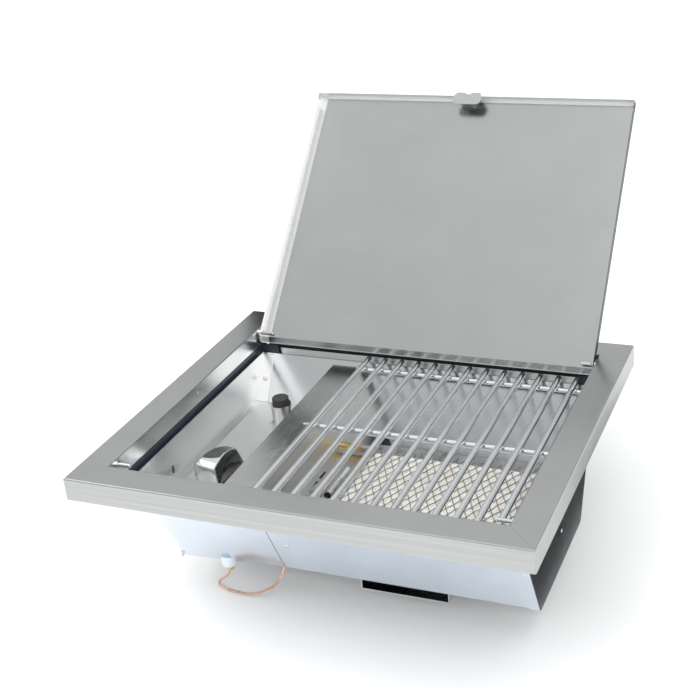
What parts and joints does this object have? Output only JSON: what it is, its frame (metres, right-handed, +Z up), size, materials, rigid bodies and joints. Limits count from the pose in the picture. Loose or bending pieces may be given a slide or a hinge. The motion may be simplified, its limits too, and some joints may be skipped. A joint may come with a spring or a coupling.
{
  "type": "built-in side burner",
  "caption": "Drop-in stainless side burner: trim frame, hopper box with infrared burner, lift-off rod grate, control well with knob and igniter, hinged lid standing open",
  "frame": {"origin": "centre of the trim frame on the counter plane, which is the underside of the trim's outer lip", "axes": "+X to the user's right, +Y from the user to the back, +Z up"},
  "size_m": [0.56, 0.6943, 0.5105],
  "materials": {
    "trim_steel": "satin",
    "lid_steel": "satin",
    "front_steel": "satin",
    "left_steel": "satin",
    "side_steel": "satin",
    "box_steel": "satin",
    "divider_steel": "satin",
    "panel_steel": "satin",
    "shelf_steel": "satin",
    "label_plate": "satin",
    "navy_paint": "satin",
    "rod_chrome": "satin",
    "knob_chrome": "satin",
    "bright_metal": "satin",
    "burner_steel": "satin",
    "screen_wire": "satin",
    "ceramic": "satin",
    "white_ceramic": "satin",
    "electrode_wire": "satin",
    "brass": "satin",
    "copper": "satin",
    "valve_metal": "satin",
    "black_plastic": "satin",
    "button_plastic": "satin",
    "insert_black": "satin",
    "cable_rubber": "satin"
  },
  "bodies": {
    "chassis": {"air_duct": "box_steel", "baffle_shelf": "shelf_steel", "burner_brackets": "box_steel", "burner_housing": "burner_steel", "burner_screen": "screen_wire", "ceramic_tile": "ceramic", "control_front": "front_steel", "control_panel": "panel_steel", "copper_tube": "copper", "corner_brackets": "navy_paint", "divider": "divider_steel", "electrode_ceramic": "white_ceramic", "electrode_lead": "cable_rubber", "electrode_shroud": "burner_steel", "electrode_tip": "electrode_wire", "ferrule_ring": "copper", "firebox_front": "front_steel", "firebox_rear": "box_steel", "flare_nut": "brass", "floor_pan": "box_steel", "front_rivets": "bright_metal", "gas_feed_tube": "valve_metal", "grate_ledge": "shelf_steel", "grommets": "cable_rubber", "hanger_front": "navy_paint", "hanger_left": "navy_paint", "hanger_rear": "navy_paint", "hanger_right": "navy_paint", "hanger_screws": "bright_metal", "hinge_pins": "bright_metal", "hinge_washers": "bright_metal", "igniter_barrel": "bright_metal", "igniter_module": "black_plastic", "igniter_nut": "black_plastic", "inlet_boot": "white_ceramic", "label_plate": "label_plate", "lid_rest_pins": "bright_metal", "mixer_tube": "valve_metal", "orifice_fitting": "brass", "screen_clips": "burner_steel", "side_plate_left": "left_steel", "side_plate_right": "side_steel", "side_rivets": "bright_metal", "trim_frame": "trim_steel", "valve_body": "valve_metal", "well_screws": "bright_metal"},
    "lid": {"lid_panel": "lid_steel", "lid_pull": "bright_metal", "lid_pull_rivets": "bright_metal"},
    "grate": {"grate_rods": "rod_chrome", "grate_cross_rods": "rod_chrome"},
    "plunger": {"valve_plunger": "valve_metal"},
    "knob": {"knob_shell": "knob_chrome", "knob_side_inserts": "insert_black", "knob_top_insert": "insert_black", "valve_stem": "electrode_wire"},
    "button": {"igniter_cap": "button_plastic"}
  },
  "joints": [
    {"name": "lid_hinge", "type": "hinge", "parent": "chassis", "child": "lid", "pos_m": [0, 0.1845, 0.02125], "axis": [1, 0, 0], "range_deg": [0, 134.4]},
    {"name": "grate_lift", "type": "slide", "parent": "chassis", "child": "grate", "axis": [0, -0.4472, 0.8944], "range_m": [0, 0.06]},
    {"name": "knob_push", "type": "slide", "parent": "chassis", "child": "plunger", "axis": [0, 0, -1], "range_m": [0, 0.003], "stiffness_N_per_m": 2500, "springref_m": -0.002},
    {"name": "knob_turn", "type": "hinge", "parent": "plunger", "child": "knob", "pos_m": [-0.183, -0.052, -0.05], "axis": [0, 0, -1], "range_deg": [-90, 0]},
    {"name": "button_push", "type": "slide", "parent": "chassis", "child": "button", "axis": [0, 0, -1], "range_m": [0, 0.006], "stiffness_N_per_m": 900, "springref_m": -0.003}
  ]
}
